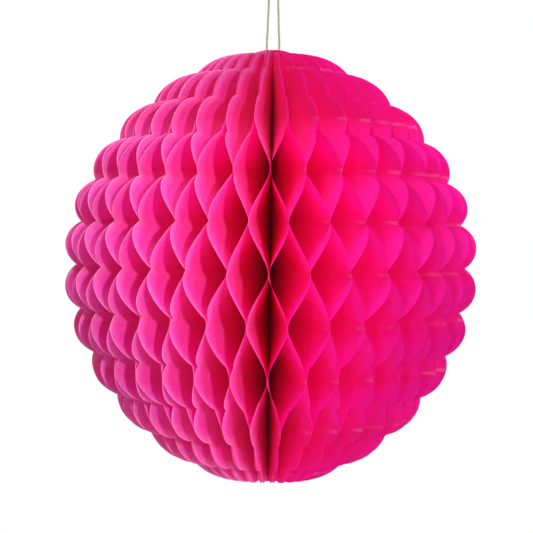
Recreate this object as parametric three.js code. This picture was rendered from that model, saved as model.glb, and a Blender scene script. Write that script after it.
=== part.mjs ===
import * as THREE from 'three';

// A hanging honeycomb paper ball. Leaves of tissue stand upright round an axis like the pages of a book that is opened
// all the way round. Every leaf is glued to its two neighbours on level lines, to the left one on every other line and
// to the right one on the lines between, so the opened ball is a honeycomb of diamond cells. The leaves are made two
// by two, as glued pairs, and a cord loop comes out of the top. Millimetres, +Z up, origin where the loop hangs.

const DEGREE = Math.PI / 180;

// The ball
const BALL_HEIGHT = 300;
const BALL_WIDTH = 283;
const LEAVES = 68; // an even number
const TURN = 4.75 * DEGREE; // how far the first pair is turned round the axis
const CORE_RADIUS = 5.2; // the empty core that the leaves' straight edges stand round
const SPINE_DEPTH = 1.6; // width of the edge along which the two leaves of a pair are one
const GAP = 0.3; // between pieces that touch

// The level glue lines, as lengths on the flat leaf
const GLUE_PITCH = 34.3;
const GLUE_WIDTH = 3;
const GLUE_OFFSET = -2.5; // height of the middle line above the leaf's middle
const FOLD_SOFTNESS = 0.42; // 0 folds the paper straight from line to line, 1 bends it in a full S
const SHOULDER_SAG = 9; // how far the hung ball's shoulders sink, measured for a point at its top and at its rim

// The scalloped cut edge, as sizes on the flat leaf
const SCALLOP_ANGLE = 13.6 * DEGREE; // from notch to notch, seen from the leaf's middle
const SCALLOP_DEPTH_EQUATOR = 9;
const SCALLOP_DEPTH_POLE = 5.6;
const EDGE_STEP = 10.4; // longest straight piece of the modelled edge

// The cord and the two ties of the spine
const CORD_DIAMETER = 1.4;
const CORD_SPREAD = 8.5; // between the strands where they leave the ball
const CORD_DEPTH = 13; // how far the strands reach down into the core
const LOOP_HEIGHT = 40; // from the top of the ball to the middle of the loop's end
const LOOP_RADIUS = 3;
const TIE_DIAMETER = 0.8;
const TIE_INSET = 8; // from each end of the spine

// What follows from them
const LEAF_ANGLE = (2 * Math.PI) / LEAVES;
const FULL_SCALLOPS = Math.floor(Math.PI / 2 / SCALLOP_ANGLE); // from the equator to the scallop over the pole
const POLE_HALF_ANGLE = Math.PI / 2 - FULL_SCALLOPS * SCALLOP_ANGLE;
const NOTCH_WIDTH = (BALL_WIDTH / 2 - SCALLOP_DEPTH_EQUATOR) / Math.cos(SCALLOP_ANGLE / 2);
const NOTCH_HEIGHT = (BALL_HEIGHT / 2 - SCALLOP_DEPTH_POLE) / Math.cos(POLE_HALF_ANGLE);
const EDGE_END_RADIUS = CORE_RADIUS + 2 * SPINE_DEPTH;
const SPINE_HALF_WIDTH = CORE_RADIUS * LEAF_ANGLE - GAP / 2;
const TIE_RADIUS = CORE_RADIUS - GAP - TIE_DIAMETER / 2;
const STRAND_IN_CORE = TIE_RADIUS - TIE_DIAMETER / 2 - GAP - CORD_DIAMETER / 2;
const HANG_POINT = BALL_HEIGHT / 2 + LOOP_HEIGHT - CORD_DIAMETER / 2;

const paper = new THREE.MeshStandardMaterial({ color: 0xe8146e, roughness: 0.85, metalness: 0 });
const cotton = new THREE.MeshStandardMaterial({ color: 0xd9cfc0, roughness: 0.9, metalness: 0 });

// A notch of the flat leaf, on an ellipse round the leaf's middle: x is out from the axis and y is up.
function notch(index) {
  const angle = index * SCALLOP_ANGLE;
  if (index > FULL_SCALLOPS) {
    const before = notch(FULL_SCALLOPS);
    return new THREE.Vector2(-before.x, before.y);
  }
  const acrossPart = Math.cos(angle) / NOTCH_WIDTH;
  const upPart = Math.sin(angle) / NOTCH_HEIGHT;
  const radius = 1 / Math.hypot(acrossPart, upPart);
  return new THREE.Vector2(radius * Math.cos(angle), radius * Math.sin(angle));
}

// A point of the upper half of the cut edge. Whole numbers of place are notches and between them runs a round scallop.
function edgePoint(place) {
  const index = Math.floor(place);
  const from = notch(index);
  const to = notch(index + 1);
  const chord = to.clone().sub(from);
  const middleAngle = Math.min((index + 0.5) * SCALLOP_ANGLE, Math.PI / 2);
  const share = Math.cos(middleAngle) ** 2;
  const depth = SCALLOP_DEPTH_POLE + (SCALLOP_DEPTH_EQUATOR - SCALLOP_DEPTH_POLE) * share;
  const halfSweep = 2 * Math.atan((2 * depth) / chord.length());
  const radius = chord.length() / 2 / Math.sin(halfSweep);
  const outward = new THREE.Vector2(chord.y, -chord.x).normalize();
  const along = chord.normalize();
  const swept = (2 * (place - index) - 1) * halfSweep;
  const centre = from.clone().add(to).multiplyScalar(0.5).addScaledVector(outward, -radius * Math.cos(halfSweep));
  centre.addScaledVector(along, radius * Math.sin(swept));
  return centre.addScaledVector(outward, radius * Math.cos(swept));
}

// The first place, from the equator up, where test holds for the edge's point.
function firstPlace(test) {
  const step = 1 / 32;
  let high = 0;
  while (!test(edgePoint(high)) && high < FULL_SCALLOPS + 0.5) {
    high += step;
  }
  let low = Math.max(high - step, 0);
  for (let round = 0; round < 40; round += 1) {
    const middle = (low + high) / 2;
    if (test(edgePoint(middle))) {
      high = middle;
    } else {
      low = middle;
    }
  }
  return high;
}

// The whole edge runs over places below and above zero, and its lower half mirrors its upper half.
function wholeEdgePoint(place) {
  const point = edgePoint(Math.abs(place));
  return new THREE.Vector2(point.x, Math.sign(place) * point.y);
}

const EDGE_END = firstPlace((point) => point.x <= EDGE_END_RADIUS);
const END_HEIGHT = edgePoint(EDGE_END).y;

// Glue line numbers count up from the middle line. The even ones hold a pair together, the odd ones join it to the next.
const GLUE_LINES = [];
const linesUp = Math.floor((END_HEIGHT - GLUE_WIDTH - GLUE_OFFSET) / GLUE_PITCH);
const linesDown = Math.floor((END_HEIGHT - GLUE_WIDTH + GLUE_OFFSET) / GLUE_PITCH);
for (let line = -linesDown; line <= linesUp; line += 1) {
  GLUE_LINES.push({ line, height: GLUE_OFFSET + line * GLUE_PITCH, inPair: line % 2 === 0 });
}

// Where the fold stands at a height of the flat leaf: 1 on a line inside the pair and -1 on a line to the next pair.
function foldAt(height) {
  const line = Math.round((height - GLUE_OFFSET) / GLUE_PITCH);
  const side = line % 2 === 0 ? 1 : -1;
  const away = Math.abs(height - GLUE_OFFSET - line * GLUE_PITCH) - GLUE_WIDTH / 2;
  const share = Math.max(away, 0) / (GLUE_PITCH - GLUE_WIDTH);
  const bend = share * share * (3 - 2 * share);
  return side * (1 - 2 * (share + FOLD_SOFTNESS * (bend - share)));
}

// Opening the ball spreads the folds sideways, which draws the leaf together in height, most at its rim. The spine holds
// the ball up, so its shoulders sink a little.
function openedHeight(radius, height) {
  const slope = Math.min((LEAF_ANGLE * radius) / GLUE_PITCH, 0.9);
  const up = height * Math.sqrt(1 - slope * slope);
  const upShare = Math.max(up / (BALL_HEIGHT / 2), 0);
  const outShare = radius / (BALL_WIDTH / 2);
  return up - SHOULDER_SAG * upShare ** 2 * outShare;
}

// The cut edge from bottom to top as places: every notch, both sides of every glue line, and steps between them.
function edgePlaces() {
  const fixed = [-EDGE_END, EDGE_END];
  for (const { height } of GLUE_LINES) {
    for (const side of [-0.5, 0.5]) {
      const glueEdge = height + side * GLUE_WIDTH;
      fixed.push(Math.sign(glueEdge) * firstPlace((point) => point.y >= Math.abs(glueEdge)));
    }
  }
  const closest = 0.05;
  for (let index = -FULL_SCALLOPS; index <= FULL_SCALLOPS; index += 1) {
    if (fixed.every((place) => Math.abs(place - index) > closest)) {
      fixed.push(index);
    }
  }
  fixed.sort((a, b) => a - b);
  const places = [fixed[0]];
  for (let i = 1; i < fixed.length; i += 1) {
    const length = wholeEdgePoint(fixed[i]).distanceTo(wholeEdgePoint(fixed[i - 1]));
    const steps = Math.ceil(length / EDGE_STEP);
    for (let step = 1; step <= steps; step += 1) {
      places.push(fixed[i - 1] + ((fixed[i] - fixed[i - 1]) * step) / steps);
    }
  }
  return places;
}

// The heights at which the straight inner edge has a point: its ends, its glue lines to the next pair, and both sides
// of those inside the pair.
function spineHeights() {
  const heights = [-END_HEIGHT, END_HEIGHT];
  for (const { height, inPair } of GLUE_LINES) {
    if (inPair) {
      heights.push(height - GLUE_WIDTH / 2, height + GLUE_WIDTH / 2);
    } else {
      heights.push(height);
    }
  }
  return heights.sort((a, b) => a - b);
}

// The rows of triangles between the inner and the outer edge of a leaf, each as [inner, outer, inner or outer]. A piece
// of rim goes to the nearest inner point that sees it: behind a notch that is one closer to the middle of the leaf.
function leafRows(spine, rim, onMiddle) {
  const middle = Math.floor(spine.length / 2);
  const sees = (inner, j) => {
    const eye = new THREE.Vector2(CORE_RADIUS + SPINE_DEPTH, spine[inner]);
    return rim[j].clone().sub(eye).cross(rim[j + 1].clone().sub(eye)) > SPINE_DEPTH ** 2;
  };
  const nearest = rim.map(({ y }) => {
    const distances = spine.map((height) => Math.abs(height - y));
    return distances.indexOf(Math.min(...distances));
  });
  nearest[0] = 0;
  nearest[rim.length - 1] = spine.length - 1;
  for (let j = 0; j + 2 < rim.length; j += 1) {
    const end = onMiddle[j] ? j : j + 1;
    while (nearest[end] !== middle && !sees(nearest[end], j)) {
      nearest[end] += Math.sign(middle - nearest[end]);
    }
  }
  for (let j = 1; j < rim.length; j += 1) {
    nearest[j] = Math.max(nearest[j], Math.min(nearest[j - 1], middle));
  }
  for (let j = rim.length - 2; j > 0; j -= 1) {
    nearest[j] = Math.min(nearest[j], Math.max(nearest[j + 1], middle));
  }
  const rows = [];
  for (let j = 0; j + 1 < rim.length; j += 1) {
    let inner = nearest[j];
    const pivot = onMiddle[j] ? j + 1 : j;
    if (pivot === j + 1) {
      rows.push({ inner: [inner], outer: [j, j + 1] });
    }
    for (; inner < nearest[j + 1]; inner += 1) {
      rows.push({ inner: [inner, inner + 1], outer: [pivot] });
    }
    if (pivot === j) {
      rows.push({ inner: [inner], outer: [j, j + 1] });
    }
  }
  return rows;
}

// Two leaves as one closed body. Their inner edges and their glue lines are shared, the cells between are open to the
// rim, and the paper runs out to a thin cut edge. The pair stands along +X, the left leaf on the side of -Y.
function leafPairGeometry() {
  const rim = edgePlaces().map(wholeEdgePoint);
  const spine = spineHeights();
  const fold = rim.map(({ y }) => foldAt(y));
  const onMiddle = fold.map((value) => value > 1 - 1e-6);

  const rimVertex = (index, side) => {
    const { x: radius, y: height } = rim[index];
    const reach = LEAF_ANGLE * radius - GAP / 2;
    const angle = onMiddle[index] ? 0 : (side * reach * (1 - fold[index])) / 2 / radius;
    const z = openedHeight(radius, height);
    return new THREE.Vector3(radius * Math.cos(angle), radius * Math.sin(angle), z);
  };
  const spineVertex = (index, side) => new THREE.Vector3(CORE_RADIUS, side * SPINE_HALF_WIDTH, spine[index]);
  const cellVertex = (index) => new THREE.Vector3(CORE_RADIUS + SPINE_DEPTH, 0, spine[index]);

  const corners = [];
  const triangle = (a, b, c, flip) => corners.push(...(flip ? [a, c, b] : [a, b, c]));

  const opened = rim.map(({ x, y }) => new THREE.Vector2(x, openedHeight(x, y)));
  for (const { inner, outer } of leafRows(spine, opened, onMiddle)) {
    const turned = inner.length === 2;
    const inMiddle = outer.every((index) => onMiddle[index]);
    for (const side of [-1, 1]) {
      const rims = outer.map((index) => rimVertex(index, side));
      const spines = inner.map((index) => spineVertex(index, side));
      const cells = inner.map((index) => cellVertex(index));
      const outside = turned ? [spines[0], rims[0], spines[1]] : [spines[0], ...rims];
      const inside = turned ? [cells[0], rims[0], cells[1]] : [cells[0], ...rims];
      triangle(...outside, side > 0);
      if (!inMiddle) {
        triangle(...inside, side < 0);
      }
    }
  }
  const last = spine.length - 1;
  for (let i = 0; i < last; i += 1) {
    triangle(spineVertex(i, -1), spineVertex(i + 1, -1), spineVertex(i + 1, 1), false);
    triangle(spineVertex(i, -1), spineVertex(i + 1, 1), spineVertex(i, 1), false);
  }
  for (const [end, rimEnd, flip] of [[last, rim.length - 1, false], [0, 0, true]]) {
    triangle(spineVertex(end, -1), rimVertex(rimEnd, -1), cellVertex(end), flip);
    triangle(cellVertex(end), rimVertex(rimEnd, 1), spineVertex(end, 1), flip);
    triangle(spineVertex(end, -1), cellVertex(end), spineVertex(end, 1), flip);
  }
  const geometry = new THREE.BufferGeometry().setFromPoints(corners);
  geometry.computeVertexNormals();
  return geometry;
}

function namedMesh(name, geometry, material) {
  const mesh = new THREE.Mesh(geometry, material);
  mesh.name = name;
  return mesh;
}

function leafPairs() {
  const geometry = leafPairGeometry();
  const pairs = LEAVES / 2;
  return Array.from({ length: pairs }, (_, i) => {
    const pair = namedMesh(`leaf_pair_${String(i + 1).padStart(2, '0')}`, geometry, paper);
    pair.rotation.z = TURN + (2 * Math.PI * i) / pairs;
    return pair;
  });
}

// The cord goes up one side of the axis, round the end of the loop and down the other side.
function hangingCord() {
  const top = BALL_HEIGHT / 2;
  const loop = top + LOOP_HEIGHT;
  const strand = [
    [STRAND_IN_CORE, top - CORD_DEPTH],
    [STRAND_IN_CORE, top - CORD_DEPTH / 2],
    [CORD_SPREAD / 2, top + 1],
    [CORD_SPREAD / 2 - 0.4, top + 0.35 * LOOP_HEIGHT],
    [LOOP_RADIUS + 0.3, top + 0.75 * LOOP_HEIGHT],
    [LOOP_RADIUS, loop - 1.1 * LOOP_RADIUS],
    [0.7 * LOOP_RADIUS, loop - 0.3 * LOOP_RADIUS],
  ];
  const left = strand.map(([x, z]) => new THREE.Vector3(-x, 0, z));
  const right = strand.map(([x, z]) => new THREE.Vector3(x, 0, z)).reverse();
  const route = new THREE.CatmullRomCurve3([...left, new THREE.Vector3(0, 0, loop), ...right]);
  const section = new THREE.Shape();
  section.absarc(0, 0, CORD_DIAMETER / 2, 0, 2 * Math.PI);
  const steps = Math.min(Math.ceil(route.getLength() / (2.2 * CORD_DIAMETER)), 80);
  const geometry = new THREE.ExtrudeGeometry(section, { steps, extrudePath: route, curveSegments: 4 });
  return namedMesh('hanging_cord', geometry, cotton);
}

function spineTie(name, side) {
  const tie = namedMesh(name, new THREE.TorusGeometry(TIE_RADIUS, TIE_DIAMETER / 2, 6, 18), cotton);
  tie.position.z = side * (BALL_HEIGHT / 2 - TIE_INSET);
  return tie;
}

const ball = new THREE.Group();
ball.name = 'honeycomb_paper_ball';
ball.add(...leafPairs());
ball.add(hangingCord());
ball.add(spineTie('spine_tie_top', 1), spineTie('spine_tie_bottom', -1));
ball.position.z = -HANG_POINT;

const part = new THREE.Group();
part.add(ball);

export default part;
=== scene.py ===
"""The looks of a hanging honeycomb paper ball: its tissue leaves, its cord and a plain white studio.

Metres, +Z up, the origin where the cord loop hangs.
"""

import math
import random

import bpy
import numpy as np
from mathutils import Matrix, Vector
from mathutils.geometry import delaunay_2d_cdt


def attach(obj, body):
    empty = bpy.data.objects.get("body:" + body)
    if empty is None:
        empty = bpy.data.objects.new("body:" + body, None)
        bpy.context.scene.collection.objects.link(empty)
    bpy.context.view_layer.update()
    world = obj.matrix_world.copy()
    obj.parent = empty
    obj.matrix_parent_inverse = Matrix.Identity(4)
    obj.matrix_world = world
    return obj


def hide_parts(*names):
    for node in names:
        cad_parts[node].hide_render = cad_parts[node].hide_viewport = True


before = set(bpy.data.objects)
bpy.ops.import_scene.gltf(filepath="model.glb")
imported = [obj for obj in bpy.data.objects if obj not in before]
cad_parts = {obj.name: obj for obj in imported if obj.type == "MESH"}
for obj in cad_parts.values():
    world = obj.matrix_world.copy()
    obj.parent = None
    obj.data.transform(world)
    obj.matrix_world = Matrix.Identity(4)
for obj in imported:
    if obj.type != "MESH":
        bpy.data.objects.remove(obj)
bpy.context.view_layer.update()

MM = 0.001

# The ball, the same sizes as the part's source
BALL_HEIGHT = 300 * MM
BALL_WIDTH = 283 * MM
LEAVES = 68
LEAF_ANGLE = 2 * math.pi / LEAVES
TURN = math.radians(4.75)
CORE_RADIUS = 5.2 * MM
EDGE_END_RADIUS = 8.4 * MM  # where the cut edge meets the spine
GLUE_PITCH = 34.3 * MM
GLUE_WIDTH = 3 * MM
GLUE_OFFSET = -2.5 * MM
FOLD_SOFTNESS = 0.42
SHOULDER_SAG = 9 * MM
SCALLOP_ANGLE = math.radians(13.6)
SCALLOP_DEPTH_EQUATOR = 9 * MM
SCALLOP_DEPTH_POLE = 5.6 * MM
CORD_DIAMETER = 1.4 * MM
CORD_SPREAD = 8.5 * MM
CORD_DEPTH = 13 * MM
LOOP_HEIGHT = 40 * MM
LOOP_RADIUS = 3 * MM
STRAND_IN_CORE = 3.1 * MM  # from the axis to a strand's lower end
HANG_POINT = BALL_HEIGHT / 2 + LOOP_HEIGHT - CORD_DIAMETER / 2

# The modelled paper, where it is finer than the part's source
LAST_LINE = 3  # the outermost glue line that still holds two leaves at their cut edges
LINES = range(-6, 7)  # all glue lines, those beyond the leaves' ends too
PAPER_GAP = 0.06 * MM  # from a glue joint to each of its two leaves
LOOSE_GAP = 0.7 * MM  # what that grows by for each line beyond the last
CUT_WIDTH = 0.06 * MM  # of the cut edge, seen end on
PAINTED_RIM_LIGHT_WIDTH = 7 * MM  # width of the rim where the paler side is painted paler still, as painted light on the rim
RIM_STEP = 1.5 * MM  # between points of the cut edge
ROW_STEP = 4.4 * MM  # between points of a row
ROWS_BETWEEN_LINES = 7
JOINT_JITTER = 0.07  # how far a joint strays, as a share of the angle between leaves
BULGE = 0.5 * MM  # size of the paper's slack between two glue lines
BULGE_WAVES = 9  # radians of a wave of slack from the axis to the rim
LEAST_BULGE_RADIUS = 20 * MM  # nearer to the axis, slack turns a leaf no further
LEAF_MARK = 0.37  # sets the paper's grain of one leaf apart from the next
STRIP_MARK = 0.05  # both marks of the strip that binds a pair at its spine
STRIP_ROWS = 24
STRIP_SHARE = 0.98  # of the way from a pair's middle to the next pair's strip
SEED = 11

# Colours of the paper, where it is thin and where it is dense. Its deeper side is painted shade and its paler
# side painted light, as copies of one paper
PAINTED_SHADED_SIDE = (0.965, 0.012, 0.40, 1), (0.98, 0.020, 0.48, 1)
PAINTED_LIT_SIDE = (0.94, 0.066, 0.53, 1), (0.96, 0.090, 0.60, 1)
SHINING_THROUGH = (0.955, 0.0025, 0.37, 1), (0.97, 0.005, 0.42, 1)
# Painted light on the rim, a painted highlight on the cut edge, its colours where it is glued, and painted
# shade at the bound spine
PAINTED_RIM_LIGHT = (0.96, 0.24, 0.70, 1)
PAINTED_EDGE_HIGHLIGHT = (0.97, 0.45, 0.80, 1)
DRY_GLUE = (0.94, 0.24, 0.64, 1)
THROUGH_GLUE = (0.96, 0.06, 0.42, 1)
PAINTED_CORE_SHADE = (0.40, 0.002, 0.05, 1)
# The share of light that shines through, where the paper is thin and where it is dense
SHINING_SHARE = 0.50, 0.38

# Yarn: its light and its dark fibres, and how fine its grain is
CORD_YARN = (0.50, 0.55, 0.36, 1), (0.35, 0.36, 0.22, 1), 6000
TIE_YARN = (0.78, 0.74, 0.68, 1), (0.52, 0.47, 0.41, 1), 9000

FULL_SCALLOPS = math.floor(math.pi / 2 / SCALLOP_ANGLE)
POLE_HALF_ANGLE = math.pi / 2 - FULL_SCALLOPS * SCALLOP_ANGLE
NOTCH_WIDTH = (BALL_WIDTH / 2 - SCALLOP_DEPTH_EQUATOR) / math.cos(SCALLOP_ANGLE / 2)
NOTCH_HEIGHT = (BALL_HEIGHT / 2 - SCALLOP_DEPTH_POLE) / math.cos(POLE_HALF_ANGLE)


# Camera

def add_camera():
    """The photograph's view, fitted to the ball's outline and to its rows of glue joints."""
    focal_pixels = 1265
    image_side = 533
    sensor_width = 36
    distance = 0.878
    above_middle = 0.0202
    pitch = -0.0235
    yaw = 0.0031
    roll = 0.012
    camera = bpy.data.objects.new("camera", bpy.data.cameras.new("camera"))
    camera.data.sensor_width = sensor_width
    camera.data.lens = sensor_width * focal_pixels / image_side
    camera.data.clip_start = 0.01
    place = Matrix.Translation((0, -distance, above_middle - HANG_POINT))
    upright = Matrix.Rotation(math.pi / 2, 4, "X")
    aim = Matrix.Rotation(yaw, 4, "Z") @ Matrix.Rotation(pitch, 4, "X")
    camera.matrix_world = place @ aim @ upright @ Matrix.Rotation(roll, 4, "Z")
    bpy.context.collection.objects.link(camera)
    bpy.context.scene.camera = camera


# Node helpers

def new_material(name):
    """An empty material and its node tree."""
    material = bpy.data.materials.new(name)
    material.use_nodes = True
    material.node_tree.nodes.clear()
    return material, material.node_tree


def add_node(tree, kind, settings=None, **inputs):
    """A new node. An input is a value, or another node's output to link to.

    Inputs go by name, or by number as i0, i1 and so on.
    """
    node = tree.nodes.new(kind)
    for name, value in (settings or {}).items():
        setattr(node, name, value)
    for name, value in inputs.items():
        numbered = name[0] == "i" and name[1:].isdigit()
        socket = node.inputs[int(name[1:]) if numbered else name]
        if isinstance(value, bpy.types.NodeSocket):
            tree.links.new(value, socket)
        else:
            socket.default_value = value
    return node


def maths(tree, operation, first, second=0.0):
    """One operation on two numbers."""
    return add_node(tree, "ShaderNodeMath", {"operation": operation}, i0=first, i1=second).outputs[0]


def span(tree, value, low, high, to_low=0.0, to_high=1.0):
    """A value between low and high, spread smoothly to another range."""
    settings = {"interpolation_type": "SMOOTHSTEP"}
    limits = {"i1": low, "i2": high, "i3": to_low, "i4": to_high}
    return add_node(tree, "ShaderNodeMapRange", settings, i0=value, **limits).outputs[0]


def mix_colour(tree, share, first, second):
    """The first colour where the share is 0 and the second where it is 1."""
    node = add_node(tree, "ShaderNodeMix", {"data_type": "RGBA"}, i0=share, i6=first, i7=second)
    return node.outputs[2]


def noise(tree, vector, scale, detail=4.0, roughness=0.55):
    """Cloudy noise, from 0 to 1."""
    node = add_node(tree, "ShaderNodeTexNoise", i0=vector)
    node.inputs["Scale"].default_value = scale
    node.inputs["Detail"].default_value = detail
    node.inputs["Roughness"].default_value = roughness
    return node.outputs[0]


# Materials

def paper_formation(tree, place):
    """How dense the paper is: soft clouds, and fibres that lie across the leaf."""
    clouds = noise(tree, place, 420, 6)
    settings = {"operation": "MULTIPLY"}
    stretch = add_node(tree, "ShaderNodeVectorMath", settings, i0=place, i1=(260, 1900, 40))
    fibres = noise(tree, stretch.outputs[0], 1, 5, 0.65)
    return maths(tree, "ADD", maths(tree, "MULTIPLY", clouds, 0.6), maths(tree, "MULTIPLY", fibres, 0.4))


def glue_marks(tree, place, up, rim):
    """Dried glue: an uneven wide mark near the rim, and with it a thin one all along each glue line."""
    line = maths(tree, "DIVIDE", maths(tree, "SUBTRACT", up, GLUE_OFFSET), GLUE_PITCH)
    from_line = maths(tree, "ABSOLUTE", maths(tree, "SUBTRACT", line, maths(tree, "ROUND", line)))
    from_line = maths(tree, "MULTIPLY", from_line, GLUE_PITCH)
    near_rim = span(tree, rim, 4 * MM, 13 * MM, 1, 0)
    uneven = span(tree, noise(tree, place, 30, 2), 0.42, 0.62)
    wide = maths(tree, "MULTIPLY", near_rim, span(tree, from_line, 0.9 * MM, 1.4 * MM, 1, 0))
    wide = maths(tree, "MULTIPLY", wide, uneven)
    glued = maths(tree, "MAXIMUM", wide, span(tree, from_line, 0.3 * MM, 0.7 * MM, 0.7, 0))
    return wide, glued


def thrown_colour(tree, dense, out, rim, wide_glue):
    """The colour that each side throws back. One side is painted paler than the other, as lit and shaded
    copies of one paper. The paler side has painted light towards the rim and a painted highlight at its cut
    edge, and the paper at the core is painted shade.
    """
    painted_shaded_side = mix_colour(tree, dense, *PAINTED_SHADED_SIDE)
    painted_shaded_side = mix_colour(tree, maths(tree, "MULTIPLY", wide_glue, 0.7), painted_shaded_side, DRY_GLUE)
    painted_lit_side = mix_colour(tree, dense, *PAINTED_LIT_SIDE)
    # Painted light: the paler side grows paler still towards the rim
    rim_light_share = maths(tree, "MULTIPLY", span(tree, rim, 0, PAINTED_RIM_LIGHT_WIDTH, 1, 0), 0.55)
    painted_lit_side = mix_colour(tree, rim_light_share, painted_lit_side, PAINTED_RIM_LIGHT)
    # Painted highlight: the paler side is lightest within 0.8 mm of the cut edge
    cut = maths(tree, "MULTIPLY", span(tree, rim, 0.2 * MM, 0.8 * MM, 1, 0), 0.9)
    painted_lit_side = mix_colour(tree, cut, painted_lit_side, PAINTED_EDGE_HIGHLIGHT)
    # Painted light and shade: one side of each leaf is painted paler, as if lit, and the other deeper, as if
    # in shade
    on_painted_lit_side = add_node(tree, "ShaderNodeNewGeometry").outputs["Backfacing"]
    thrown = mix_colour(tree, on_painted_lit_side, painted_shaded_side, painted_lit_side)
    # Painted shade: a near black red on the paper within 1.5 mm of the core and on the whole spine strip
    bound = span(tree, out, CORE_RADIUS + 0.1 * MM, CORE_RADIUS + 1.5 * MM, 1, 0)
    return mix_colour(tree, bound, thrown, PAINTED_CORE_SHADE)


def tissue_material():
    """Dyed tissue paper: it throws back a cool pink and shines through in a deep red pink."""
    material, tree = new_material("dyed_tissue")
    flat_map = add_node(tree, "ShaderNodeUVMap", {"uv_map": "flat"}).outputs[0]
    out, up, _ = add_node(tree, "ShaderNodeSeparateXYZ", i0=flat_map).outputs
    rim_map = add_node(tree, "ShaderNodeUVMap", {"uv_map": "rim"}).outputs[0]
    rim, leaf_mark, _ = add_node(tree, "ShaderNodeSeparateXYZ", i0=rim_map).outputs
    place = add_node(tree, "ShaderNodeCombineXYZ", i0=out, i1=up, i2=leaf_mark).outputs[0]

    formation = paper_formation(tree, place)
    dense = span(tree, formation, 0.35, 0.65)
    wide_glue, glued = glue_marks(tree, place, up, rim)
    thrown = thrown_colour(tree, dense, out, rim, wide_glue)
    shining = mix_colour(tree, dense, *SHINING_THROUGH)
    shining = mix_colour(tree, maths(tree, "MULTIPLY", glued, 0.8), shining, THROUGH_GLUE)

    wrinkles = noise(tree, place, 90, 5, 0.6)
    relief = maths(tree, "ADD", wrinkles, maths(tree, "MULTIPLY", formation, 0.35))
    bump = add_node(tree, "ShaderNodeBump", Strength=0.3, Distance=0.4 * MM, Height=relief).outputs[0]
    paper = add_node(tree, "ShaderNodeBsdfPrincipled", Roughness=0.72, Normal=bump)
    tree.links.new(thrown, paper.inputs["Base Color"])
    paper.inputs["Specular IOR Level"].default_value = 0.12
    paper.inputs["Sheen Weight"].default_value = 0.03
    through = add_node(tree, "ShaderNodeBsdfTranslucent", Color=shining, Normal=bump).outputs[0]
    share = span(tree, formation, 0.3, 0.7, *SHINING_SHARE)
    both = add_node(tree, "ShaderNodeMixShader", i0=share, i1=paper.outputs[0], i2=through)
    add_node(tree, "ShaderNodeOutputMaterial", Surface=both.outputs[0])
    return material


def cotton_material(name, light, dark, grain):
    """Raw cotton yarn: light and dark fibres in uneven blotches, with a fine fuzz."""
    material, tree = new_material(name)
    place = add_node(tree, "ShaderNodeTexCoord").outputs["Object"]
    fuzz = noise(tree, place, grain, 6, 0.7)
    blotch = noise(tree, place, grain / 8, 3)
    fine = maths(tree, "MULTIPLY", fuzz, 0.55)
    shade = maths(tree, "ADD", fine, maths(tree, "MULTIPLY", blotch, 0.45))
    colour = mix_colour(tree, span(tree, shade, 0.35, 0.65), dark, light)
    bump = add_node(tree, "ShaderNodeBump", Strength=0.5, Distance=0.1 * MM, Height=fuzz)
    yarn = add_node(tree, "ShaderNodeBsdfPrincipled", Roughness=0.9, Normal=bump.outputs[0])
    tree.links.new(colour, yarn.inputs["Base Color"])
    yarn.inputs["Specular IOR Level"].default_value = 0.2
    yarn.inputs["Sheen Weight"].default_value = 0.25
    add_node(tree, "ShaderNodeOutputMaterial", Surface=yarn.outputs[0])
    return material


# The cord

def catmull_rom(points, steps):
    """A smooth centripetal curve through the points, with that many steps from each point to the next."""
    whole = [2 * points[0] - points[1], *points, 2 * points[-1] - points[-2]]
    curve = []
    for before, start, end, after in zip(whole, whole[1:], whole[2:], whole[3:]):
        knots = [0.0]
        for a, b in ((before, start), (start, end), (end, after)):
            knots.append(knots[-1] + np.linalg.norm(b - a) ** 0.5)
        for step in range(steps):
            t = knots[1] + (knots[2] - knots[1]) * step / steps
            level = [before, start, end, after]
            for width in (1, 2, 3):
                level = blend_level(level, knots, t, width)
            curve.append(level[0])
    curve.append(points[-1])
    return np.array(curve)


def blend_level(level, knots, t, width):
    """One round of the pyramid that blends four points into one point of the curve."""
    if width == 3:
        low, high = knots[1], knots[2]
        return [(high - t) / (high - low) * level[0] + (t - low) / (high - low) * level[1]]
    blended = []
    for i in range(len(level) - 1):
        low, high = knots[i], knots[i + width]
        blended.append((high - t) / (high - low) * level[i] + (t - low) / (high - low) * level[i + 1])
    return blended


def cord_route():
    """The route of the source's cord: up one side of the axis, round the loop and down the other side."""
    top = BALL_HEIGHT / 2
    loop = top + LOOP_HEIGHT
    strand = [
        (STRAND_IN_CORE, top - CORD_DEPTH),
        (STRAND_IN_CORE, top - CORD_DEPTH / 2),
        (CORD_SPREAD / 2, top + 1 * MM),
        (CORD_SPREAD / 2 - 0.4 * MM, top + 0.35 * LOOP_HEIGHT),
        (LOOP_RADIUS + 0.3 * MM, top + 0.75 * LOOP_HEIGHT),
        (LOOP_RADIUS, loop - 1.1 * LOOP_RADIUS),
        (0.7 * LOOP_RADIUS, loop - 0.3 * LOOP_RADIUS),
    ]
    left = [(-x, 0, z) for x, z in strand]
    right = [(x, 0, z) for x, z in reversed(strand)]
    points = [np.array(p) - (0, 0, HANG_POINT) for p in [*left, (0, 0, loop), *right]]
    steps_between_points = 40
    return catmull_rom(points, steps_between_points)


def even_steps(route, step):
    """The same route with points at even distances, and its length."""
    lengths = np.concatenate([[0], np.cumsum(np.linalg.norm(np.diff(route, axis=0), axis=1))])
    places = np.linspace(0, lengths[-1], math.ceil(lengths[-1] / step) + 1)
    return np.stack([np.interp(places, lengths, route[:, i]) for i in range(3)], axis=1), lengths[-1]


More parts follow.
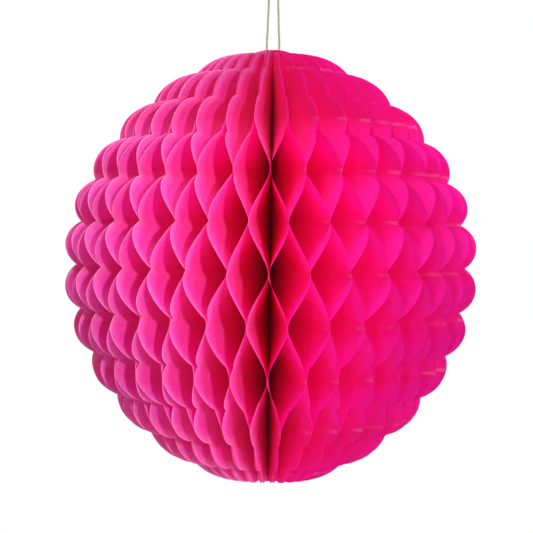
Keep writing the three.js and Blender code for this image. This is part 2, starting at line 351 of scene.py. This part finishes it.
def add_cord(material):
    """A cord of twisted plies. Its route lies in the plane y = 0."""
    plies = 3
    groove = 0.2  # depth between plies, as a share of the cord's radius
    around = 24
    twist_length = 4.6 * MM
    step = 0.45 * MM
    path, length = even_steps(cord_route(), step)
    tangents = np.gradient(path, axis=0)
    tangents /= np.linalg.norm(tangents, axis=1)[:, None]
    side = np.array([0.0, 1.0, 0.0])
    angles = np.arange(around) * 2 * math.pi / around
    vertices = []
    for i, (point, tangent) in enumerate(zip(path, tangents)):
        normal = np.cross(side, tangent)
        twist = 2 * math.pi * i * step / twist_length
        bulge = np.abs(np.cos(plies / 2 * (angles - twist)))
        radius = CORD_DIAMETER / 2 * (1 - groove + groove * bulge)
        outward = np.cos(angles)[:, None] * normal + np.sin(angles)[:, None] * side
        vertices.extend(point + radius[:, None] * outward)
    faces = []
    for i in range(len(path) - 1):
        for j in range(around):
            k = (j + 1) % around
            near, far = i * around, (i + 1) * around
            faces.append((near + j, near + k, far + k, far + j))
    faces.append(tuple(reversed(range(around))))
    faces.append(tuple(range((len(path) - 1) * around, len(path) * around)))
    mesh = bpy.data.meshes.new("twisted_cord")
    mesh.from_pydata([tuple(v) for v in vertices], [], faces)
    mesh.shade_smooth()
    mesh.materials.append(material)
    cord = bpy.data.objects.new("twisted_cord", mesh)
    bpy.context.collection.objects.link(cord)
    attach(cord, "root")
    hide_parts("hanging_cord")


# The flat leaf

def notch(index):
    """A notch of the cut edge, on an ellipse round the leaf's middle, as (out from the axis, up)."""
    if index > FULL_SCALLOPS:
        before = notch(FULL_SCALLOPS)
        return np.array([-before[0], before[1]])
    angle = index * SCALLOP_ANGLE
    radius = 1 / math.hypot(math.cos(angle) / NOTCH_WIDTH, math.sin(angle) / NOTCH_HEIGHT)
    return radius * np.array([math.cos(angle), math.sin(angle)])


def edge_point(place):
    """A point of the upper half of the cut edge: whole numbers are notches, with scallops between them."""
    index = math.floor(place)
    start, end = notch(index), notch(index + 1)
    chord = end - start
    length = np.linalg.norm(chord)
    share = math.cos(min((index + 0.5) * SCALLOP_ANGLE, math.pi / 2)) ** 2
    depth = SCALLOP_DEPTH_POLE + (SCALLOP_DEPTH_EQUATOR - SCALLOP_DEPTH_POLE) * share
    half_sweep = 2 * math.atan(2 * depth / length)
    radius = length / 2 / math.sin(half_sweep)
    along = chord / length
    outward = np.array([along[1], -along[0]])
    swept = (2 * (place - index) - 1) * half_sweep
    out = math.cos(swept) - math.cos(half_sweep)
    return (start + end) / 2 + radius * (out * outward + math.sin(swept) * along)


def cut_edge():
    """The whole cut edge from the bottom of the spine to its top, in even steps and with every notch."""
    search_step = 1 / 512
    fine_steps = 64
    end = 0.0
    while edge_point(end)[0] > EDGE_END_RADIUS:
        end += search_step
    upper = []
    for index in range(FULL_SCALLOPS + 1):
        last = min(index + 1, end)
        fine = np.array([edge_point(min(index + i / fine_steps, last)) for i in range(fine_steps + 1)])
        spaced, _ = even_steps(np.column_stack([fine, np.zeros(len(fine))]), RIM_STEP)
        upper.extend(spaced[:-1, :2])
    upper.append(edge_point(end))
    upper = np.array(upper)
    lower = upper[:0:-1] * (1, -1)
    return np.concatenate([lower, upper])


def rim_distance(points, rim):
    """How far each point is from the cut edge."""
    nearest = np.full(len(points), np.inf)
    for start, end in zip(rim, rim[1:]):
        along = end - start
        share = np.clip((points - start) @ along / (along @ along), 0, 1)
        nearest = np.minimum(nearest, np.linalg.norm(points - start - share[:, None] * along, axis=1))
    return nearest


def row_heights():
    """Heights of the rows of points: three on every glue line, and even steps between the lines."""
    rows = []
    lines = math.ceil(BALL_HEIGHT / 2 / GLUE_PITCH)
    for line in range(-lines, lines + 1):
        height = GLUE_OFFSET + line * GLUE_PITCH
        rows.extend([height - GLUE_WIDTH / 2, height, height + GLUE_WIDTH / 2])
        gap = GLUE_PITCH - GLUE_WIDTH
        for i in range(1, ROWS_BETWEEN_LINES):
            rows.append(height + GLUE_WIDTH / 2 + gap * i / ROWS_BETWEEN_LINES)
    return rows


def flat_leaf():
    """One leaf before folding, as points, triangles and each point's distance from the cut edge."""
    rim = cut_edge()
    spine_top = rim[-1][1]
    spine_heights = [h for h in row_heights() if abs(h) < spine_top - 1 * MM]
    spine = [(CORE_RADIUS, h) for h in [spine_top, *reversed(spine_heights), -spine_top]]
    outline = [Vector(p) for p in rim] + [Vector(p) for p in spine]
    inner = []
    for number, height in enumerate(row_heights()):
        first = CORE_RADIUS + ROW_STEP * (1 if number % 2 else 0.5)
        inner.extend((r, height) for r in np.arange(first, BALL_WIDTH / 2, ROW_STEP))
    inner = np.array(inner)
    inner = inner[rim_distance(inner, rim) > 0.6 * RIM_STEP]
    points = outline + [Vector(p) for p in inner]
    keep_inside = 1
    tolerance = 1e-6
    found = delaunay_2d_cdt(points, [], [list(range(len(outline)))], keep_inside, tolerance)
    used, corners = np.unique(np.concatenate(found[2]), return_inverse=True)
    flat = np.array([tuple(v) for v in found[0]])[used]
    return flat, corners.reshape(-1, 3).tolist(), rim_distance(flat, rim)


# The opened ball

def glue_joints(chance):
    """The angle of each joint between a leaf and the next, a little uneven as hands open the ball."""
    return {(leaf, line): TURN + LEAF_ANGLE * (leaf + chance.gauss(0, JOINT_JITTER))
            for leaf in range(LEAVES) for line in LINES}


def joint_of(leaf, line):
    """The joint that holds a leaf on a glue line, and the side of it that the leaf is on.

    Beyond the last line, leaves stay with the neighbour that they have there.
    """
    held = max(-LAST_LINE, min(line, LAST_LINE))
    if (leaf + held) % 2 == 0:
        return leaf, -1
    return leaf - 1, 1


def joint_angles(leaf, lines, joints, radii):
    """The angle at which a leaf passes each point's glue line."""
    angles = np.empty(len(lines))
    for line in set(lines):
        joint, side = joint_of(leaf, line)
        angle = joints[joint % LEAVES, line]
        if joint < 0:
            angle -= 2 * math.pi
        at_line = lines == line
        gap = PAPER_GAP + LOOSE_GAP * max(abs(line) - LAST_LINE, 0)
        angles[at_line] = angle + side * gap / radii[at_line]
    return angles


def paper_waves(chance):
    """The slack of one leaf between each glue line and the next: two sizes and a phase."""
    return {line: (chance.gauss(0, 1), chance.gauss(0, 0.7), chance.uniform(0, 6.3)) for line in LINES}


def opened(flat, leaf, joints, waves, aside=0.0):
    """Points of a flat leaf where they stand in the opened ball, moved aside by a distance round the axis."""
    radii, heights = flat[:, 0], flat[:, 1]
    steps = (heights - GLUE_OFFSET) / GLUE_PITCH
    lines = np.floor(steps).astype(int)
    above_line = (steps - lines) * GLUE_PITCH - GLUE_WIDTH / 2
    share = np.clip(above_line / (GLUE_PITCH - GLUE_WIDTH), 0, 1)
    bend = share + FOLD_SOFTNESS * (share * share * (3 - 2 * share) - share)
    low = joint_angles(leaf, lines, joints, radii)
    high = joint_angles(leaf, lines + 1, joints, radii)
    free = 4 * share * (1 - share)
    outness = radii / (BALL_WIDTH / 2)
    whole, wave, phase = np.array([waves[line] for line in lines]).T
    bulge = whole * outness + wave * np.sin(BULGE_WAVES * outness + phase)
    slack = BULGE * bulge * free * outness / np.maximum(radii, LEAST_BULGE_RADIUS)
    angles = low + (high - low) * bend + slack + aside / radii
    slope = LEAF_ANGLE * radii / GLUE_PITCH
    up = heights * np.sqrt(1 - slope * slope)
    up = up - SHOULDER_SAG * np.maximum(up / (BALL_HEIGHT / 2), 0) ** 2 * outness
    return np.stack([radii * np.cos(angles), radii * np.sin(angles), up - HANG_POINT], axis=1)


def spine_strip(pair, top):
    """The bound inner edge of a pair: a narrow band that closes the pair's cells towards the hollow core."""
    points = []
    for height in np.linspace(-top, top, STRIP_ROWS + 1):
        for side in (-1, 0, 1):
            angle = TURN + LEAF_ANGLE * (2 * pair + side * STRIP_SHARE)
            x, y = CORE_RADIUS * math.cos(angle), CORE_RADIUS * math.sin(angle)
            points.append((x, y, height - HANG_POINT))
    corners = [3 * row + i for row in range(STRIP_ROWS) for i in range(2)]
    return np.array(points), [(i, i + 1, i + 4, i + 3) for i in corners]


def pair_patches(pair, sheet, rim, joints, chance):
    """The surfaces of a pair of leaves.

    Each is its points, its faces, its places on the flat leaf, and its marks: the distance from the cut edge
    and a number for the leaf. A leaf's cut edge, seen end on, is a strip of its own that shows plain paper.
    """
    flat, triangles, from_rim = sheet
    edge = len(rim)
    rim_faces = [(i + edge, i + 1 + edge, i + 1, i) for i in range(edge - 1)]
    patches = []
    for leaf in (2 * pair, 2 * pair + 1):
        waves = paper_waves(chance)
        leaf_mark = LEAF_MARK * leaf
        marks = np.column_stack([from_rim, np.full(len(flat), leaf_mark)])
        patches.append((opened(flat, leaf, joints, waves), triangles, flat, marks))
        sides = [opened(rim, leaf, joints, waves, side * CUT_WIDTH / 2) for side in (-1, 1)]
        edge_marks = np.full((2 * edge, 2), (PAINTED_RIM_LIGHT_WIDTH, leaf_mark))
        patches.append((np.concatenate(sides), rim_faces, np.concatenate([rim, rim]), edge_marks))
    strip, strip_faces = spine_strip(pair, flat[:, 1].max() - 1 * MM)
    strip_places = np.column_stack([np.full(len(strip), CORE_RADIUS), strip[:, 2] + HANG_POINT])
    patches.append((strip, strip_faces, strip_places, np.full((len(strip), 2), STRIP_MARK)))
    return patches


def add_mesh(name, patches, material):
    """One object from its patches, with places and marks as the two maps that its material reads."""
    points, face_lists, places, marks = zip(*patches)
    faces = []
    first = 0
    for patch_points, patch_faces in zip(points, face_lists):
        faces.extend(tuple(first + i for i in face) for face in patch_faces)
        first += len(patch_points)
    mesh = bpy.data.meshes.new(name)
    mesh.from_pydata(np.concatenate(points).tolist(), [], faces)
    mesh.shade_smooth()
    corners = np.concatenate([np.array(face) for face in faces])
    for map_name, values in (("flat", places), ("rim", marks)):
        uv_map = mesh.uv_layers.new(name=map_name)
        uv_map.data.foreach_set("uv", np.concatenate(values)[corners].ravel())
    mesh.materials.append(material)
    piece = bpy.data.objects.new(name, mesh)
    bpy.context.collection.objects.link(piece)
    return piece


def add_leaf_pairs(material):
    """All the leaves, one piece for each pair of the part."""
    sheet = flat_leaf()
    rim = cut_edge()
    chance = random.Random(SEED)
    joints = glue_joints(chance)
    for pair in range(LEAVES // 2):
        patches = pair_patches(pair, sheet, rim, joints, chance)
        piece = add_mesh(f"tissue_pair_{pair + 1:02d}", patches, material)
        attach(piece, "root")
        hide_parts(f"leaf_pair_{pair + 1:02d}")


# The studio

def add_area_light(name, place, size, power):
    """A round soft lamp that looks at the middle of the ball."""
    light = bpy.data.lights.new(name, "AREA")
    light.shape = "DISK"
    light.size = size
    light.energy = power
    lamp = bpy.data.objects.new(name, light)
    lamp.location = place
    aim = Vector((0, 0, -HANG_POINT)) - Vector(place)
    lamp.rotation_euler = aim.to_track_quat("-Z", "Y").to_euler()
    bpy.context.collection.objects.link(lamp)


def add_spot_light(name, place, target, half_cone, size, power):
    """A soft spot. Its light falls off from the target to the edge of its cone, half_cone degrees away."""
    light = bpy.data.lights.new(name, "SPOT")
    light.spot_size = math.radians(2 * half_cone)
    light.spot_blend = 1
    light.shadow_soft_size = size
    light.energy = power
    lamp = bpy.data.objects.new(name, light)
    lamp.location = place
    lamp.rotation_euler = (Vector(target) - Vector(place)).to_track_quat("-Z", "Y").to_euler()
    bpy.context.collection.objects.link(lamp)


def add_lamps():
    """Lamps in front of the ball as the photograph's shading asks, and softer ones for its other sides."""
    # From the right: lights the left half's leaves and shines through those of the right half
    add_area_light("key_right", (1.12, -1.24, 0.08), size=0.2, power=7.9)
    # Only the scallops at the left rim, from the right
    add_spot_light("key_left", (0.50, -1.42, 0.05), (-0.28, 0, -0.22),
                   half_cone=13.5, size=0.04, power=61)
    # Only the scallops at the right rim, from the left
    add_spot_light("edge_right", (-0.45, -1.45, -0.05), (0.33, 0, -0.24),
                   half_cone=11.5, size=0.05, power=20)
    # The top, and weak light into the shadows of the front
    add_area_light("glow_top", (-0.1, -0.45, 1.3), size=0.7, power=19)
    add_area_light("fill_left", (-1.3, -0.8, -0.15), size=0.4, power=1.5)
    add_area_light("fill_front", (0, -1.5, -0.15), size=0.3, power=2.0)
    add_area_light("bounce_low", (0.9, -0.7, -0.55), size=0.6, power=4)
    # The back
    add_area_light("back_left", (-0.7, 1.4, 0.4), size=0.6, power=10)
    add_area_light("back_right", (0.2, 1.2, 1.0), size=0.6, power=14)


def add_world():
    """White to the camera, and a soft even light to the rest."""
    world = bpy.data.worlds.new("studio")
    bpy.context.scene.world = world
    world.use_nodes = True
    tree = world.node_tree
    tree.nodes.clear()
    rays = add_node(tree, "ShaderNodeLightPath").outputs
    soft = add_node(tree, "ShaderNodeBackground", Color=(1, 1, 1, 1), Strength=0.07)
    white = add_node(tree, "ShaderNodeBackground", Color=(1, 1, 1, 1), Strength=1.0)
    seen = rays["Is Camera Ray"]
    both = add_node(tree, "ShaderNodeMixShader", i0=seen, i1=soft.outputs[0], i2=white.outputs[0])
    add_node(tree, "ShaderNodeOutputWorld", Surface=both.outputs[0])


def add_floor():
    """A pale floor well below the ball. It holds the ball's shadow and runs out to white."""
    radius = 3.0
    drop = 0.5
    corners = 64
    shadow_radius = 0.2
    white_radius = 0.8
    least_white = 0.35
    mesh = bpy.data.meshes.new("floor")
    angles = np.linspace(0, 2 * math.pi, corners, endpoint=False)
    ring = [(radius * math.cos(angle), radius * math.sin(angle), 0) for angle in angles]
    mesh.from_pydata(ring, [], [tuple(range(corners))])
    floor = bpy.data.objects.new("floor", mesh)
    floor.location.z = -HANG_POINT - BALL_HEIGHT / 2 - drop
    material, tree = new_material("pale_floor")
    place = add_node(tree, "ShaderNodeTexCoord").outputs["Object"]
    out = add_node(tree, "ShaderNodeVectorMath", {"operation": "LENGTH"}, i0=place).outputs["Value"]
    grain = noise(tree, place, 40, 5)
    colour = mix_colour(tree, grain, (0.86, 0.86, 0.86, 1), (0.90, 0.90, 0.90, 1))
    pale = add_node(tree, "ShaderNodeBsdfDiffuse", Color=colour)
    white = add_node(tree, "ShaderNodeEmission", Color=(1, 1, 1, 1), Strength=1.0)
    seen = add_node(tree, "ShaderNodeLightPath").outputs["Is Camera Ray"]
    whiteness = span(tree, out, shadow_radius, white_radius, least_white, 1)
    share = maths(tree, "MULTIPLY", seen, whiteness)
    both = add_node(tree, "ShaderNodeMixShader", i0=share, i1=pale.outputs[0], i2=white.outputs[0])
    add_node(tree, "ShaderNodeOutputMaterial", Surface=both.outputs[0])
    mesh.materials.append(material)
    bpy.context.collection.objects.link(floor)


def dress_ties():
    """The part's own ties, in thread."""
    thread = cotton_material("tie_thread", *TIE_YARN)
    for name in ("spine_tie_top", "spine_tie_bottom"):
        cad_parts[name].data.materials.clear()
        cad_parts[name].data.materials.append(thread)


add_camera()
add_cord(cotton_material("cord_cotton", *CORD_YARN))
add_leaf_pairs(tissue_material())
dress_ties()
add_world()
add_floor()
add_lamps()
bpy.context.scene.view_settings.view_transform = "Standard"
# Light goes through many leaves before it leaves the ball
bpy.context.scene.cycles.max_bounces = 24
bpy.context.scene.cycles.diffuse_bounces = 16
bpy.context.scene.cycles.transmission_bounces = 16
